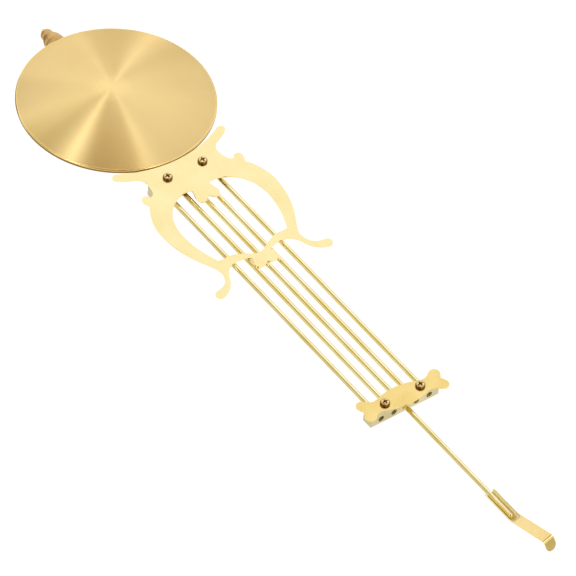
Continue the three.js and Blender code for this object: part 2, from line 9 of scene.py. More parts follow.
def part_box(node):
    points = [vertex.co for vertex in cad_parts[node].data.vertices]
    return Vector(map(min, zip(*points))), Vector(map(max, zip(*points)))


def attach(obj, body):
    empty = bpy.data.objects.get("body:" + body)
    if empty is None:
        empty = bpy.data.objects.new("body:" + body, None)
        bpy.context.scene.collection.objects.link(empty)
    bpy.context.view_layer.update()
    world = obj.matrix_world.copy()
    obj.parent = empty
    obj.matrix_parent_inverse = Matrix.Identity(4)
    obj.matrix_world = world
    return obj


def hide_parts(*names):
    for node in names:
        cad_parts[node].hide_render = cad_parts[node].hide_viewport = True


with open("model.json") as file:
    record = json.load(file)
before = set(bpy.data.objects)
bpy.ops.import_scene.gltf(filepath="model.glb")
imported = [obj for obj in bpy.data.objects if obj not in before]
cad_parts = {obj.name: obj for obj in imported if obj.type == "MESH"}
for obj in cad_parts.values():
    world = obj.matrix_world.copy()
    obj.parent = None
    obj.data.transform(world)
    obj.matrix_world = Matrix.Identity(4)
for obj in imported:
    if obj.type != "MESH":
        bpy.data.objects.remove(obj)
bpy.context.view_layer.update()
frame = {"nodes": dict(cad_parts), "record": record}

MM = 0.001
nodes = frame["nodes"]
record = frame["record"]
bodies = {
    name: body
    for body, names in record["behaviour"]["bodies"].items()
    for name in names
}


# The camera, fitted to the photograph: its place, its three axes and its focal length
CAMERA_AT = Vector((1.302012, -2.102012, 1.303981))
CAMERA_RIGHT = (-0.8036827765, -0.0678629703, 0.5911756186)
CAMERA_DOWN = (0.3929886902, 0.6854654144, 0.6129413145)
CAMERA_AHEAD = (-0.4468264586, 0.7249357095, -0.5242273676)
FOCAL_PIXELS = 5500
FRAME_PIXELS = 576


def make_camera():
    data = bpy.data.cameras.new("camera")
    data.sensor_width = 36
    data.lens = FOCAL_PIXELS / FRAME_PIXELS * data.sensor_width
    data.clip_start, data.clip_end = 0.1, 20
    camera = bpy.data.objects.new("camera", data)
    axes = Matrix((CAMERA_RIGHT, CAMERA_DOWN, CAMERA_AHEAD)).transposed()
    turn = axes @ Matrix(((1, 0, 0), (0, -1, 0), (0, 0, -1)))
    camera.matrix_world = Matrix.Translation(CAMERA_AT) @ turn.to_4x4()
    bpy.context.scene.collection.objects.link(camera)
    bpy.context.scene.camera = camera


# Materials
NOISE_SPAN = 0.3, 0.7  # where most values of a noise texture lie


def linear(red, green, blue):
    """A colour for a shader from the 0 to 255 of a screen."""
    return tuple(
        c / 12.92 if c <= 0.04045 else ((c + 0.055) / 1.055) ** 2.4
        for c in (red / 255, green / 255, blue / 255)
    ) + (1,)


def add(tree, kind, inputs=None, **settings):
    """A new shader node, with links or values for its inputs."""
    made = tree.nodes.new(kind)
    for name, value in settings.items():
        setattr(made, name, value)
    for name, value in (inputs or {}).items():
        if isinstance(value, bpy.types.NodeSocket):
            tree.links.new(value, made.inputs[name])
        else:
            made.inputs[name].default_value = value
    return made


def math_node(tree, operation, a, b=0.0):
    return add(tree, "ShaderNodeMath", {0: a, 1: b}, operation=operation).outputs[0]


def vector_node(tree, operation, a, b=None, output="Vector"):
    inputs = {0: a} if b is None else {0: a, 1: b}
    made = add(tree, "ShaderNodeVectorMath", inputs, operation=operation)
    return made.outputs[output]


def mixed(tree, share, a, b):
    made = add(tree, "ShaderNodeMix", {0: share, 6: a, 7: b}, data_type="RGBA")
    return made.outputs[2]


def ranged(tree, value, low, high, to_low, to_high):
    """A value carried over from one range to another, and held at its ends."""
    names = ("Value", "From Min", "From Max", "To Min", "To Max")
    values = dict(zip(names, (value, low, high, to_low, to_high)))
    return add(tree, "ShaderNodeMapRange", values).outputs["Result"]


def noise(tree, vector, scale, detail=3.0):
    values = {"Vector": vector, "Scale": scale, "Detail": detail, "Roughness": 0.55}
    return add(tree, "ShaderNodeTexNoise", values).outputs[0]


def cloth_finish(name, light, dark):
    material = bpy.data.materials.new(name)
    material.use_nodes = True
    tree = material.node_tree
    shader = next(n for n in tree.nodes if n.type == "BSDF_PRINCIPLED")
    place = add(tree, "ShaderNodeTexCoord").outputs["Object"]
    tone = mixed(tree, noise(tree, place, 8), linear(*light), linear(*dark))
    tree.links.new(tone, shader.inputs["Base Color"])
    shader.inputs["Roughness"].default_value = 0.9
    return material


def blank_metal(name):
    material = bpy.data.materials.new(name)
    material.use_nodes = True
    tree = material.node_tree
    shader = next(n for n in tree.nodes if n.type == "BSDF_PRINCIPLED")
    shader.inputs["Metallic"].default_value = 1.0
    return material, tree, shader


def metal(name, light, dark, rough, stretch=(1, 1, 1), grain=1500, bump=0.03):
    """Metal with soft blotches, a fine grain that can run one way, and uneven gloss."""
    light, dark = linear(*light), linear(*dark)
    material, tree, shader = blank_metal(name)
    place = add(tree, "ShaderNodeTexCoord").outputs["Object"]
    along = vector_node(tree, "MULTIPLY", place, stretch)
    blotches = noise(tree, place, 60, 4.0)
    fine = noise(tree, along, grain, 2.0)
    share = ranged(tree, blotches, 0.35, 0.68, 0.0, 1.0)
    tone = mixed(tree, share, light, dark)
    streak = ranged(tree, fine, *NOISE_SPAN, 0.0, 0.14)
    tree.links.new(mixed(tree, streak, tone, dark), shader.inputs["Base Color"])
    gloss = math_node(
        tree,
        "ADD",
        ranged(tree, blotches, *NOISE_SPAN, rough[0], rough[1]),
        ranged(tree, fine, *NOISE_SPAN, -0.03, 0.03),
    )
    tree.links.new(gloss, shader.inputs["Roughness"])
    relief = add(
        tree,
        "ShaderNodeBump",
        {"Height": fine, "Strength": bump, "Distance": 0.0002},
    )
    tree.links.new(relief.outputs[0], shader.inputs["Normal"])
    return material


RING_SCALE = 2600  # of the noise that follows the radius alone
STROKE_SCALE = 900.0  # of the strokes along the rings, across them
CENTRE_POLISH = -0.12  # how much smoother the brushed rings are at their centre
POLISH_FADE = 2 * MM, 12 * MM  # from the centre, where that fades
GLOSS_START = 10 * MM  # from the centre, where the brushed rings start to get duller


def turned_metal(name, light, dark, rough, anisotropy):
    """Sheet that was brushed in rings round a centre, which gives it its rays of light."""
    light, dark = linear(*light), linear(*dark)
    material, tree, shader = blank_metal(name)
    place = add(tree, "ShaderNodeTexCoord").outputs["Object"]
    outward = vector_node(tree, "SUBTRACT", place, TURNING_AT)
    flat = vector_node(tree, "MULTIPLY", outward, (1, 0, 1))
    radius = vector_node(tree, "LENGTH", flat, output="Value")
    ring_at = add(tree, "ShaderNodeCombineXYZ", {"X": radius}).outputs[0]
    rings = noise(tree, ring_at, RING_SCALE)
    part = add(tree, "ShaderNodeSeparateXYZ", {0: flat})
    angle = math_node(tree, "ARCTAN2", part.outputs["Z"], part.outputs["X"])
    swirl = add(
        tree,
        "ShaderNodeCombineXYZ",
        {
            "X": math_node(tree, "COSINE", angle),
            "Y": math_node(tree, "SINE", angle),
            "Z": math_node(tree, "MULTIPLY", radius, STROKE_SCALE),
        },
    ).outputs[0]
    strokes = noise(tree, swirl, 5, 4.0)
    blotches = noise(tree, place, 35)
    share = math_node(
        tree,
        "ADD",
        ranged(tree, rings, *NOISE_SPAN, 0.0, 0.3),
        ranged(tree, blotches, *NOISE_SPAN, 0.0, 0.35),
    )
    share = math_node(tree, "ADD", share, ranged(tree, strokes, *NOISE_SPAN, 0.0, 0.2))
    tree.links.new(mixed(tree, share, light, dark), shader.inputs["Base Color"])
    gloss = math_node(
        tree,
        "ADD",
        ranged(tree, rings, *NOISE_SPAN, -0.03, 0.03),
        ranged(tree, radius, GLOSS_START, BOB_RADIUS * MM, rough[0], rough[1]),
    )
    polish = ranged(tree, radius, *POLISH_FADE, CENTRE_POLISH, 0.0)
    gloss = math_node(tree, "ADD", gloss, polish)
    tree.links.new(gloss, shader.inputs["Roughness"])
    shader.inputs["Anisotropic"].default_value = anisotropy
    world_way = add(
        tree,
        "ShaderNodeVectorTransform",
        {0: vector_node(tree, "NORMALIZE", flat)},
        vector_type="VECTOR",
        convert_from="OBJECT",
        convert_to="WORLD",
    )
    tree.links.new(world_way.outputs[0], shader.inputs["Tangent"])
    relief = add(
        tree, "ShaderNodeBump", {"Height": rings, "Strength": 0.05, "Distance": 0.0001}
    )
    tree.links.new(relief.outputs[0], shader.inputs["Normal"])
    return material


PAINTED_LIGHT_REACH = 2.6 * MM, 3.6 * MM  # from the groove's axis, where the painted light fades
PAINTED_LIGHT_FADE = 3 * MM  # the same at its upper end
PAINTED_LIGHT_DULLNESS = 0.22
PAINTED_LIGHT_METALLIC = 0.2


def painted_groove_light(material, painted_light_tone, axis, level):
    """Adds a duller, paler, less metallic patch round an upright axis, up to a level:
    painted light that brightens a groove.
    """
    tree = material.node_tree
    shader = next(n for n in tree.nodes if n.type == "BSDF_PRINCIPLED")
    place = add(tree, "ShaderNodeTexCoord").outputs["Object"]
    outward = vector_node(
        tree, "MULTIPLY", vector_node(tree, "SUBTRACT", place, axis), (1, 1, 0)
    )
    radius = vector_node(tree, "LENGTH", outward, output="Value")
    height = add(tree, "ShaderNodeSeparateXYZ", {0: place}).outputs["Z"]
    share = math_node(
        tree,
        "MULTIPLY",
        ranged(tree, radius, *PAINTED_LIGHT_REACH, 1.0, 0.0),
        ranged(tree, height, level, level + PAINTED_LIGHT_FADE, 1.0, 0.0),
    )
    tone = shader.inputs["Base Color"].links[0].from_socket
    gloss = shader.inputs["Roughness"].links[0].from_socket
    tone = mixed(tree, share, tone, linear(*painted_light_tone))
    tree.links.new(tone, shader.inputs["Base Color"])
    duller = math_node(tree, "MULTIPLY", share, PAINTED_LIGHT_DULLNESS)
    tree.links.new(math_node(tree, "ADD", gloss, duller), shader.inputs["Roughness"])
    metallic = ranged(tree, share, 0.0, 1.0, 1.0, PAINTED_LIGHT_METALLIC)
    tree.links.new(metallic, shader.inputs["Metallic"])
    return material


RECESS_SHADE_DEPTHS = 0.34 * MM, 0.55 * MM  # from a screw's top, where painted shade darkens its recess
RECESS_SHADE_METALLIC = 0.25
SHANK_DEPTHS = 1.5 * MM, 1.9 * MM  # from a screw's top, where its shank begins
EDGE_SHARES = 0.66, 0.9  # of a head's radius, where its crown goes over into its edge, darkened as painted shade
CROSS_SHARES = 0.62, 0.6  # of a head's radius, which the recess stays inside


def crowned_metal(name, crown, edge_shade_and_wear, recess_shade, head):
    """A bronzed screw: bright on its crown, with painted shade darkening its edge and its
    cross.
    """
    crown, edge_shade_and_wear, recess_shade = linear(*crown), linear(*edge_shade_and_wear), linear(*recess_shade)
    material, tree, shader = blank_metal(name)
    place = add(tree, "ShaderNodeTexCoord").outputs["Object"]
    flat = vector_node(tree, "MULTIPLY", place, (1, 0, 1))
    radius = vector_node(tree, "LENGTH", flat, output="Value")
    depth = add(tree, "ShaderNodeSeparateXYZ", {0: place}).outputs["Y"]
    wear = noise(tree, place, 900)
    # Painted shade towards the head's edge
    rim = ranged(tree, radius, *(head * share for share in EDGE_SHARES), 0.0, 1.0)
    shank = ranged(tree, depth, *SHANK_DEPTHS, 0.0, 1.0)
    tone = mixed(tree, math_node(tree, "MAXIMUM", rim, shank), crown, edge_shade_and_wear)
    # Painted shade in the cross, made less metallic
    sunk = ranged(tree, depth, *RECESS_SHADE_DEPTHS, 0.0, 1.0)
    inside = ranged(tree, radius, *(head * share for share in CROSS_SHARES), 0.0, 1.0)
    painted_recess_shade = math_node(tree, "MULTIPLY", sunk, inside)
    painted_recess_shade = math_node(tree, "SUBTRACT", painted_recess_shade, shank)
    tone = mixed(tree, painted_recess_shade, tone, recess_shade)
    metallic = ranged(tree, painted_recess_shade, 0.0, 1.0, 1.0, RECESS_SHADE_METALLIC)
    tree.links.new(metallic, shader.inputs["Metallic"])
    share = ranged(tree, wear, 0.5, 0.75, 0.0, 0.4)
    tree.links.new(mixed(tree, share, tone, edge_shade_and_wear), shader.inputs["Base Color"])
    tree.links.new(ranged(tree, wear, *NOISE_SPAN, 0.14, 0.3), shader.inputs["Roughness"])
    return material


# Meshes
def mesh_object(name, bm, sharp=35):
    """An object from a bmesh, smooth but for edges sharper than so many degrees."""
    bmesh.ops.recalc_face_normals(bm, faces=bm.faces)
    mesh = bpy.data.meshes.new(name)
    bm.to_mesh(mesh)
    bm.free()
    mesh.shade_smooth()
    mesh.set_sharp_from_angle(angle=math.radians(sharp))
    made = bpy.data.objects.new(name, mesh)
    bpy.context.scene.collection.objects.link(made)
    return made


def show(piece, node, finish):
    """The piece stands for a CAD node, with a finish."""
    piece.data.materials.clear()
    piece.data.materials.append(finish)
    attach(piece, bodies[node])
    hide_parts(node)
    return piece


LEVEL_SLACK = 0.01 * MM  # points closer than this to the lowest one are in the foot's plane
FOOT_ROUND = 1.1 * MM


def round_foot(bm):
    """Rounds the front corners at the foot of the hook's groove."""
    foot = min(v.co.z for v in bm.verts)
    ring = [v for v in bm.verts if v.co.z < foot + LEVEL_SLACK]
    front = min(v.co.y for v in ring)
    for v in ring:
        share = max(1 - (v.co.y - front) / FOOT_ROUND, 0)
        v.co.z += FOOT_ROUND * (1 - math.sqrt(1 - share**2))


WELD = 2e-6  # metres between points that are one
FLAT_ANGLE = 0.5  # degrees between faces that are one


def refined(node, finish, width, sharp=40, shape=None):
    """A copy of a CAD node, reshaped if asked, with its sharp edges rounded."""
    bm = bmesh.new()
    bm.from_mesh(nodes[node].data)
    bmesh.ops.remove_doubles(bm, verts=bm.verts, dist=WELD)
    if shape:
        shape(bm)
    bmesh.ops.dissolve_limit(
        bm, angle_limit=math.radians(FLAT_ANGLE), verts=bm.verts, edges=bm.edges
    )
    edges = [
        e
        for e in bm.edges
        if len(e.link_faces) == 2 and e.calc_face_angle(0) > math.radians(sharp)
    ]
    bmesh.ops.bevel(
        bm,
        geom=edges,
        offset=width * MM,
        segments=2,
        profile=0.5,
        affect="EDGES",
        clamp_overlap=True,
    )
    piece = mesh_object(f"{node}_shown", bm, 50)
    piece.modifiers.new("normals", "WEIGHTED_NORMAL").keep_sharp = True
    show(piece, node, finish)


def turned_mesh(profile, segments, axis="Z", loop=False, shift=None):
    """A bmesh turned round an axis from (radius, height) pairs in millimetres."""
    bm = bmesh.new()
    rings = []
    for radius, height in profile:
        ring = []
        for step in range(segments):
            angle = 2 * math.pi * step / segments
            r = radius + (shift(angle, radius, height) if shift else 0)
            x, y = r * math.cos(angle) * MM, r * math.sin(angle) * MM
            place = (x, y, height * MM) if axis == "Z" else (x, height * MM, y)
            ring.append(bm.verts.new(place))
        rings.append(ring)
    pairs = list(zip(rings, rings[1:]))
    if loop:
        pairs.append((rings[-1], rings[0]))
    for low, high in pairs:
        for i in range(segments):
            j = (i + 1) % segments
            bm.faces.new((low[i], low[j], high[j], high[i]))
    if not loop:
        bm.faces.new(rings[0])
        bm.faces.new(rings[-1])
    return bm


def curve(points, steps):
    """A smooth curve through points."""
    ends = [2 * points[0] - points[1], *points, 2 * points[-1] - points[-2]]
    made = []
    for a, b, c, d in zip(ends, ends[1:], ends[2:], ends[3:]):
        for k in range(steps):
            t = k / steps
            made.append(
                0.5
                * (
                    2 * b
                    + (c - a) * t
                    + (2 * a - 5 * b + 4 * c - d) * t**2
                    + (3 * b - a - 3 * c + d) * t**3
                )
            )
    return [*made, points[-1]]


def thread(pitch, depth, hand=1):
    """A shift for turned_mesh that cuts a V thread, its ridges on the given radius."""

    def shift(angle, radius, height):
        phase = (height / pitch - hand * angle / (2 * math.pi)) % 1
        return -depth * abs(2 * phase - 1)

    return shift


def move(bm, place):
    bmesh.ops.translate(bm, verts=bm.verts, vec=place)
    return bm


# Where things are, from the CAD. Plain numbers are millimetres, as in the part's source
bob_low, bob_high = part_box("bob_front")
BOB_RADIUS = (bob_high.x - bob_low.x) / 2 / MM
DOME, RIM_DEPTH, RIM_ROUND, RIM_LIP, BOB_SHEET = 8.0, 2.4, 0.8, 1.8, 0.6
BOB_AT = Vector(
    (
        (bob_low.x + bob_high.x) / 2,
        bob_high.y - RIM_DEPTH * MM,
        (bob_low.z + bob_high.z) / 2,
    )
)
TURNING_AT = BOB_AT + Vector((1.95, 0, -2.3)) * MM  # the brushed rings are off centre
PITCH = 0.5  # of the M3 threads
HEAD_RADIUS = 2.7  # of the screws
PAINTED_LIGHT_ABOVE_ROD = 4 * MM
rod_low, rod_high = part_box("centre_rod")
ROD_TOP = Vector(((rod_low.x + rod_high.x) / 2, (rod_low.y + rod_high.y) / 2, rod_high.z))

# Each metal has a light and a dark tone and the range of its roughness
finishes = {
    "lyre_plate": metal(
        "polished_plate", (254, 238, 181), (253, 233, 170), (0.16, 0.26), bump=0.01
    ),
    "crest_plate": metal(
        "crest_brass", (250, 222, 147), (243, 213, 132), (0.18, 0.3), bump=0.01
    ),
    "rods": metal(
        "drawn_brass",
        (255, 246, 206),
        (246, 227, 158),
        (0.05, 0.1),
        stretch=(1, 1, 0.03),
        bump=0.004,
    ),
    # Painted shade: the side rods' end faces, sunk in the brackets' holes, are coloured
    # dark brown as shade
    "rod_ends_painted_shade": metal("rod_end_painted_shade", (120, 104, 52), (92, 78, 34), (0.4, 0.6), grain=4000),
    "brackets": metal(
        "formed_brass",
        (226, 214, 172),
        (206, 192, 144),
        (0.34, 0.5),
        stretch=(0.05, 1, 1),
        bump=0.08,
    ),
    # Painted light: the hook's groove round the rod's top gets a pale, less metallic patch
    "hook": painted_groove_light(
        metal(
            "hook_brass",
            (250, 223, 160),
            (237, 208, 138),
            (0.14, 0.24),
            stretch=(1, 1, 0.05),
            bump=0.01,
        ),
        (255, 242, 186),
        ROD_TOP,
        ROD_TOP.z + PAINTED_LIGHT_ABOVE_ROD,
    ),
    "nut": metal(
        "turned_brass",
        (230, 194, 132),
        (210, 171, 108),
        (0.42, 0.54),
        stretch=(0.1, 0.1, 1),
        bump=0.01,
    ),
    "bob": turned_metal(
        "ring_brushed_brass", (255, 227, 160), (245, 210, 140), (0.33, 0.43), 1.0
    ),
    "rim": metal(
        "rolled_rim", (250, 222, 150), (236, 204, 130), (0.16, 0.26), bump=0.01
    ),
    # Painted shade: the rolled rim's side and back are coloured dark brown
    "rim_side_painted_shade": metal(
        "rim_side_painted_shade", (160, 120, 56), (136, 98, 40), (0.3, 0.45), bump=0.01
    ),
    # Painted shade darkens the screws' edges and crosses; random worn spots take the edge
    # tone
    "screws": crowned_metal(
        "bronzed_screw",
        (246, 220, 156),
        (122, 86, 32),
        (150, 92, 34),
        HEAD_RADIUS * MM,
    ),
    "steel": metal("plain_steel", (192, 188, 177), (177, 173, 162), (0.34, 0.46)),
    "rivets": metal("rivet_brass", (226, 200, 134), (196, 164, 96), (0.28, 0.42)),
    "iron": metal("cast_iron", (84, 84, 86), (58, 57, 58), (0.6, 0.8)),
}


DOME_RINGS = 44
BOB_SEGMENTS = 180
LIP_ROUND, LIP_BREAK = 0.5, 0.1  # the rolled rim's rear corner and its inner edge


def make_bob():
    """The domed face with its rolled rim, in three finishes: face, rim and rim's side, the
    side painted dark brown as shade.
    """
    reach = BOB_RADIUS - RIM_ROUND
    sphere = (reach**2 + DOME**2) / (2 * DOME)

    def depth(radius, inset):  # of the dome's front, or of its back with an inset
        return sphere - DOME - math.sqrt((sphere - inset) ** 2 - radius**2)

    radii = [reach * (i + 0.02) / DOME_RINGS for i in range(DOME_RINGS)]
    quarter = [math.pi / 2 * i / 6 for i in range(7)]
    wall = BOB_RADIUS - BOB_SHEET
    lip = BOB_RADIUS - RIM_LIP
    profile = [
        *[(r, depth(r, 0)) for r in radii],
        *[
            (reach + RIM_ROUND * math.sin(a), RIM_ROUND - RIM_ROUND * math.cos(a))
            for a in quarter
        ],
        *[
            (
                BOB_RADIUS - LIP_ROUND + LIP_ROUND * math.cos(a),
                RIM_DEPTH - LIP_ROUND + LIP_ROUND * math.sin(a),
            )
            for a in quarter
        ],
        (lip + LIP_BREAK, RIM_DEPTH),
        (lip, RIM_DEPTH - LIP_BREAK),
        (lip, RIM_DEPTH - BOB_SHEET),
        (wall, RIM_DEPTH - BOB_SHEET),
        (wall, RIM_ROUND),
        *[(r, depth(r, BOB_SHEET)) for r in reversed(radii)],
    ]
    bm = move(turned_mesh(profile, BOB_SEGMENTS, axis="Y"), BOB_AT)
    face = show(mesh_object("bob_face", bm), "bob_front", finishes["bob"])
    face.data.materials.append(finishes["rim"])
    face.data.materials.append(finishes["rim_side_painted_shade"])
    # Faces beyond the dome's reach take the rim finish in front and the painted shade on
    # the rim's side
    for part in face.data.polygons:
        away = Vector((part.center.x - BOB_AT.x, part.center.z - BOB_AT.z)).length
        side = part.center.y > BOB_AT.y + RIM_ROUND * MM
        part.material_index = int(away > reach * MM) * (1 + int(side))


SIDE_ROD_SEGMENTS, ROD_SEGMENTS = 40, 48
ROD_BREAK = 0.3  # the broken edges of the side rods
ROD_THREAD_DEPTH, THREADED = 0.24, 24.0  # the centre rod's thread, from its lower end up
ROD_TIP_RADIUS, ROD_TIP_START, ROD_TIP_TAPER = 1.0, 0.06, 1.4
ROD_TOP_ROUND = 1.2
TURN_STEPS = 8  # rows of points in a turn of a thread


def foot_and_size(node):
    """The middle of a round node's lower end, its radius and its length in millimetres."""
    low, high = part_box(node)
    foot = Vector(((low.x + high.x) / 2, (low.y + high.y) / 2, low.z))
    return foot, (high.x - low.x) / 2 / MM, (high.z - low.z) / MM


def make_rods():
    for side in ("outer_left", "inner_left", "inner_right", "outer_right"):
        foot, radius, length = foot_and_size(f"{side}_rod")
        profile = [
            (radius - ROD_BREAK, 0),
            (radius, ROD_BREAK),
            *[(radius, length * i / 8) for i in range(1, 8)],
            (radius, length - ROD_BREAK),
            (radius - ROD_BREAK, length),
        ]
        bm = move(turned_mesh(profile, SIDE_ROD_SEGMENTS), foot)
        bar = show(mesh_object(f"{side}_bar", bm), f"{side}_rod", finishes["rods"])
        # Faces that look up or down, the rods' ends, take the painted shade
        bar.data.materials.append(finishes["rod_ends_painted_shade"])
        for face in bar.data.polygons:
            face.material_index = int(abs(face.normal.z) > 0.5)
    foot, radius, length = foot_and_size("centre_rod")
    cut = thread(PITCH, ROD_THREAD_DEPTH)
    steps = int(THREADED / PITCH * TURN_STEPS)
    growth = radius - ROD_TIP_RADIUS
    middle = radius - ROD_TOP_ROUND
    quarter = [math.pi / 2 * i / 12 for i in range(13)]
    profile = [
        (ROD_TIP_RADIUS, 0),
        *[
            (ROD_TIP_RADIUS + growth * min(ROD_TIP_START + h / ROD_TIP_TAPER, 1), h)
            for h in (THREADED * (i + 1) / (steps + 1) for i in range(steps + 1))
        ],
        (radius, THREADED + 0.3),
        *[(radius, THREADED + (length - THREADED) * i / 12) for i in range(1, 12)],
        *[
            (
                middle + ROD_TOP_ROUND * math.cos(a),
                length - ROD_TOP_ROUND + ROD_TOP_ROUND * math.sin(a),
            )
            for a in quarter
        ],
    ]

    def shift(angle, r, height):
        return cut(angle, r, height) if 0.05 < height < THREADED else 0

    bm = move(turned_mesh(profile, ROD_SEGMENTS, shift=shift), foot)
    show(mesh_object("centre_bar", bm, 60), "centre_rod", finishes["rods"])


# The nut's side from its top down: [share of the radius, share of the length]
NUT_SHARES = (
    (0.93, 0.00), (1.00, 0.03), (1.00, 0.25), (0.975, 0.27), (0.93, 0.41), (0.85, 0.52),
    (0.76, 0.60), (0.67, 0.66), (0.63, 0.70), (0.62, 0.78), (0.58, 0.89), (0.48, 0.96),
    (0.38, 0.99), (0.34, 1.00),
)  # fmt: skip
NUT_BORE = 1.6
NUT_SEGMENTS = 288
KNURLS, KNURL_DEPTH = 48, 0.06
KNURLED = 0.02, 0.26  # the flange's knurled stretch, as shares of the length


def make_nut():
    foot, radius, length = foot_and_size("rating_nut")
    side = curve([Vector(pair) for pair in NUT_SHARES[2:]], 4)
    points = [Vector(pair) for pair in NUT_SHARES[:2]] + side
    profile = [(NUT_BORE, 0)] + [(min(p.x, 1) * radius, -p.y * length) for p in points]
    profile += [(NUT_BORE, -length)]

    def knurl(angle, r, height):
        inside = r > radius * 0.99 and KNURLED[0] < -height / length < KNURLED[1]
        return -KNURL_DEPTH * (0.5 + 0.5 * math.cos(KNURLS * angle)) if inside else 0

    top = foot + Vector((0, 0, length * MM))
    bm = move(turned_mesh(profile, NUT_SEGMENTS, loop=True, shift=knurl), top)
    show(mesh_object("knurled_nut", bm, 50), "rating_nut", finishes["nut"])


CROSS_ARMS = 3.8, 1.2  # the length and width of the cross in a screw's head
CROSS_ENDS = (-1.0, 1.2), (1.25, 0.55)  # depths, and the share of its size at each


def cross_cutter():
    """A tapered cross that sinks into a screw's head."""
    bm = bmesh.new()
    for wide, tall in (CROSS_ARMS, CROSS_ARMS[::-1]):
        corners = []
        for depth, share in CROSS_ENDS:
            half_x = wide * (share if wide > tall else min(share, 1)) / 2
            half_z = tall * (share if tall > wide else min(share, 1)) / 2
            for sx, sz in ((-1, -1), (1, -1), (1, 1), (-1, 1)):
                place = (sx * half_x * MM, depth * MM, sz * half_z * MM)
                corners.append(bm.verts.new(place))
        bm.faces.new(corners[:4])
        bm.faces.new(corners[4:])
        for i in range(4):
            j = (i + 1) % 4
            bm.faces.new((corners[i], corners[j], corners[4 + j], corners[4 + i]))
    return mesh_object("cross", bm)


HEAD_HEIGHT, HEAD_WALL, HEAD_CORNER = 1.9, 0.62, 0.9
CROWN_RISE, HEAD_BREAK = 0.3, 0.12
HEAD_BACK = 1.2  # the radius of the flat that closes a head's back, inside the shank
SHANK_RADIUS, SHANK_SINK, SCREW_THREAD_DEPTH = 1.5, 0.2, 0.26
HEAD_SEGMENTS, SHANK_SEGMENTS = 64, 28
FIRST_TURN, NEXT_TURN = 0.5, 0.8  # radians that the crosses are turned by


def head_blank():
    """A screw's head without its cross."""
    flat = HEAD_RADIUS - HEAD_CORNER
    fall = HEAD_HEIGHT - HEAD_WALL - CROWN_RISE
    arc = [math.pi / 2 * i / 10 for i in range(11)]
    profile = [
        *[(0.02 + flat * i / 6, CROWN_RISE * (i / 6) ** 2) for i in range(6)],
        *[
            (flat + HEAD_CORNER * math.sin(a), CROWN_RISE + fall * (1 - math.cos(a)))
            for a in arc
        ],
        (HEAD_RADIUS, HEAD_HEIGHT - HEAD_BREAK),
        (HEAD_RADIUS - HEAD_BREAK, HEAD_HEIGHT),
        (HEAD_BACK, HEAD_HEIGHT),
    ]
    return mesh_object("blank", turned_mesh(profile, HEAD_SEGMENTS, axis="Y"))


def threaded_shank(length):
    """A screw's shank from just inside its head, as a mesh."""
    steps = int((length - HEAD_HEIGHT) / PITCH * TURN_STEPS)
    start = HEAD_HEIGHT - SHANK_SINK
    side = [
        (SHANK_RADIUS, start + (length - start) * i / steps) for i in range(steps + 1)
    ]
    turns = thread(PITCH, SCREW_THREAD_DEPTH, -1)
    bm = turned_mesh(side, SHANK_SEGMENTS, axis="Y", shift=turns)
    mesh = bpy.data.meshes.new("shank")
    bm.to_mesh(mesh)
    bm.free()
    return mesh


def make_screws():
    cutter = cross_cutter()
    plates, sides = ("lyre", "crest"), ("left", "right")
    names = [f"{plate}_screw_{side}" for plate in plates for side in sides]
    for index, node in enumerate(names):
        low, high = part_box(node)
        blank = head_blank()
        turn = Matrix.Rotation(FIRST_TURN + index * NEXT_TURN, 4, "Y")
        blank.matrix_world = turn
        cut = blank.modifiers.new("cross", "BOOLEAN")
        cut.object, cut.solver, cut.use_self = cutter, "EXACT", True
        cutter.matrix_world = turn
        bpy.context.view_layer.update()
        cut_head = blank.evaluated_get(bpy.context.evaluated_depsgraph_get())
        bm = bmesh.new()
        bm.from_mesh(cut_head.to_mesh())
        bm.from_mesh(threaded_shank((high.y - low.y) / MM))
        piece = mesh_object(f"{node}_cut", bm, 40)
        piece.location = ((low.x + high.x) / 2, low.y, (low.z + high.z) / 2)
        bpy.data.objects.remove(blank)
        show(piece, node, finishes["screws"])
    bpy.data.objects.remove(cutter)


def make_sheets():
    """Plates, brackets, lugs, rivets and the hook, each with the width of its rounding."""
    refined("lyre_plate", finishes["lyre_plate"], 0.14)
    refined("crest_plate", finishes["crest_plate"], 0.16)
    for level in ("upper", "lower"):
        refined(f"{level}_bracket", finishes["brackets"], 0.15)
        refined(f"{level}_lug", finishes["steel"], 0.15)
        for side in ("left", "right"):
            refined(f"{level}_{side}_rivet", finishes["rivets"], 0.06)
    refined("weight_rivet", finishes["rivets"], 0.06)
    refined("hook", finishes["hook"], 0.12, shape=round_foot)
    for node, finish in (("bob_back", "steel"), ("bob_weight", "iron")):
        nodes[node].data.materials.clear()
        nodes[node].data.materials.append(finishes[finish])


# The set, in metres: a pale floor, a white surround, cloths and soft lamps
FLOOR_LEVEL, FLOOR_REACH = -0.9, 6
FLOOR_GLOW, FLOOR_GLOW_SHARE = 1.16, 0.8  # where the floor is seen
SKY_LIGHT = 0.7


def seen_rays(tree):
    """1 for rays from the camera and for mirror and clear rays, else 0."""
    path = add(tree, "ShaderNodeLightPath")
    kinds = ("Is Camera Ray", "Is Glossy Ray", "Is Transmission Ray")
    seen = path.outputs[kinds[0]]
    for kind in kinds[1:]:
        seen = math_node(tree, "MAXIMUM", seen, path.outputs[kind])
    return seen


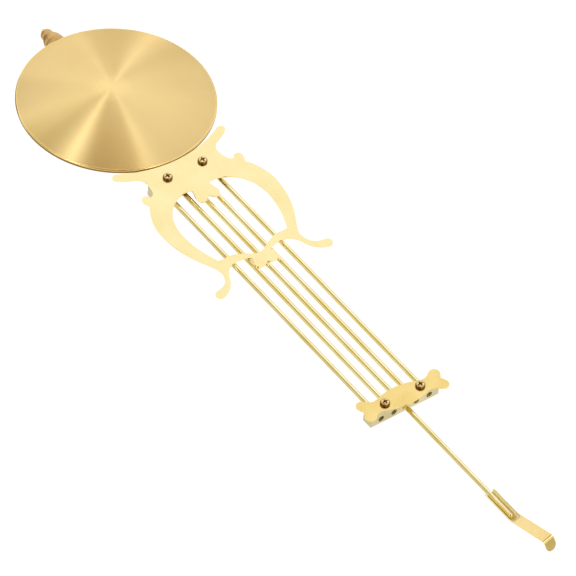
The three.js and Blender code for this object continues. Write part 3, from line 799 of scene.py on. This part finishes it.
def make_floor():
    """A matt floor that looks white where it is seen."""
    bm = bmesh.new()
    bmesh.ops.create_grid(bm, x_segments=2, y_segments=2, size=FLOOR_REACH)
    floor = mesh_object("floor", bm)
    floor.location = (0, 0, FLOOR_LEVEL)
    material = bpy.data.materials.new("pale_floor")
    material.use_nodes = True
    tree = material.node_tree
    tree.nodes.clear()
    matt = add(tree, "ShaderNodeBsdfDiffuse", {"Color": linear(236, 236, 236)})
    glow = add(tree, "ShaderNodeEmission", {"Strength": FLOOR_GLOW})
    share = math_node(tree, "MULTIPLY", seen_rays(tree), FLOOR_GLOW_SHARE)
    both = add(tree, "ShaderNodeMixShader", {0: share})
    tree.links.new(matt.outputs[0], both.inputs[1])
    tree.links.new(glow.outputs[0], both.inputs[2])
    out = add(tree, "ShaderNodeOutputMaterial")
    tree.links.new(both.outputs[0], out.inputs["Surface"])
    floor.data.materials.append(material)


def make_world():
    """White where it is seen, and a little dimmer as light."""
    world = bpy.data.worlds.new("surround")
    bpy.context.scene.world = world
    world.use_nodes = True
    tree = world.node_tree
    tree.nodes.clear()
    strength = ranged(tree, seen_rays(tree), 0, 1, SKY_LIGHT, 1.0)
    surround = add(tree, "ShaderNodeBackground", {"Color": (1, 1, 1, 1)})
    tree.links.new(strength, surround.inputs["Strength"])
    out = add(tree, "ShaderNodeOutputWorld")
    tree.links.new(surround.outputs[0], out.inputs["Surface"])


CLOTH_LEVEL = FLOOR_LEVEL + 0.002
UPPER_CLOTH_LEVEL = FLOOR_LEVEL + 0.004
# Cloths on the floor: name, directions and distances of the sector, and two tones
FLOOR_CLOTHS = (
    ("cloth_in_front", (-77, -54, 0.87, 1.75), (140, 140, 102), (124, 126, 88)),
    ("cloth_beside_it", (-54, -18, 0.52, 3.0), (222, 204, 136), (212, 194, 122)),
    ("cloth_at_the_left", (178, 190, 0.64, 3.0), (74, 70, 50), (58, 54, 36)),
    ("cloth_at_the_right", (-10, 48, 0.64, 3.0), (226, 222, 210), (216, 212, 198)),
)
ABOVE_AT = Vector((-0.502, 0.274, 0.820)) * 1.3
ABOVE_HALF = 0.35  # half the side of the square cloth above
# The card ahead of the bob: degrees round the bob from +X, and degrees up
CARD_AHEAD = (
    (-88, -11), (-66, 5), (-42, 18), (-15, 28), (10, 45),
    (-50, 72), (-88, 56), (-95, 27), (-102, -1),
)  # fmt: skip
CARD_DISTANCE = 1.0
BELOW_CORNERS = (0.0, -0.16), (0.30, -0.16), (0.30, 0.40), (0.0, 0.40)


def make_cloth(name, corners, light, dark):
    """A cloth of the studio, which only the metal sees."""
    bm = bmesh.new()
    bm.faces.new([bm.verts.new(corner) for corner in corners])
    cloth = mesh_object(name, bm)
    cloth.data.materials.append(cloth_finish(name, light, dark))
    cloth.visible_camera = False
    cloth.visible_diffuse = False
    cloth.visible_shadow = False


def floor_sector(start, end, near, far):
    """Corners on the floor between two directions, degrees from +X, and two distances."""
    ways = [(math.cos(math.radians(a)), math.sin(math.radians(a))) for a in (start, end)]
    places = ((0, near), (1, near), (1, far), (0, far))
    return [(ways[w][0] * r, ways[w][1] * r, CLOTH_LEVEL) for w, r in places]


def far_card(distance, turns_and_lifts):
    """Corners at a distance from the bob, in degrees round it from +X and up."""
    corners = []
    for turn, lift in turns_and_lifts:
        turn, lift = math.radians(turn), math.radians(lift)
        level = math.cos(lift)
        way = (math.cos(turn) * level, math.sin(turn) * level, math.sin(lift))
        corners.append(BOB_AT + Vector(way) * distance)
    return corners


def make_cloths():
    for name, sector, light, dark in FLOOR_CLOTHS:
        make_cloth(name, floor_sector(*sector), light, dark)
    across = ABOVE_AT.cross(Vector((0, 0, 1))).normalized() * ABOVE_HALF
    along = ABOVE_AT.cross(across).normalized() * ABOVE_HALF
    square = (-1, -1), (1, -1), (1, 1), (-1, 1)
    above = [ABOVE_AT + across * a + along * b for a, b in square]
    make_cloth("cloth_above", above, (234, 230, 196), (224, 220, 184))
    ahead = far_card(CARD_DISTANCE, CARD_AHEAD)
    make_cloth("card_ahead", ahead, (207, 176, 108), (195, 164, 96))
    below = [(x, y, UPPER_CLOTH_LEVEL) for x, y in BELOW_CORNERS]
    make_cloth("cloth_below", below, (112, 96, 52), (100, 84, 42))


LAMP_DISTANCE = 2.0
# The lamps: name, direction from the bob, side in metres, and watts
LAMPS = (
    ("right_front", (0.527, -0.849, -0.032), 0.2, 2.6),
    ("upper_front", (-0.162, -0.842, 0.514), 0.2, 0.85),
    ("overhead", (0.3, -0.3, 1), 1.5, 12),
)


def make_lamp(name, way, side, watts):
    """A square lamp that looks at the bob from a direction."""
    data = bpy.data.lights.new(name, "AREA")
    data.shape = "RECTANGLE"
    data.size = data.size_y = side
    data.energy = watts
    lamp = bpy.data.objects.new(name, data)
    direction = Vector(way).normalized()
    lamp.location = BOB_AT + direction * LAMP_DISTANCE
    lamp.rotation_mode = "QUATERNION"
    lamp.rotation_quaternion = direction.to_track_quat("Z", "Y")
    lamp.visible_camera = False
    bpy.context.scene.collection.objects.link(lamp)


make_camera()
make_bob()
make_rods()
make_nut()
make_screws()
make_sheets()
make_floor()
make_world()
make_cloths()
for lamp in LAMPS:
    make_lamp(*lamp)

bpy.context.scene.view_settings.view_transform = "Standard"
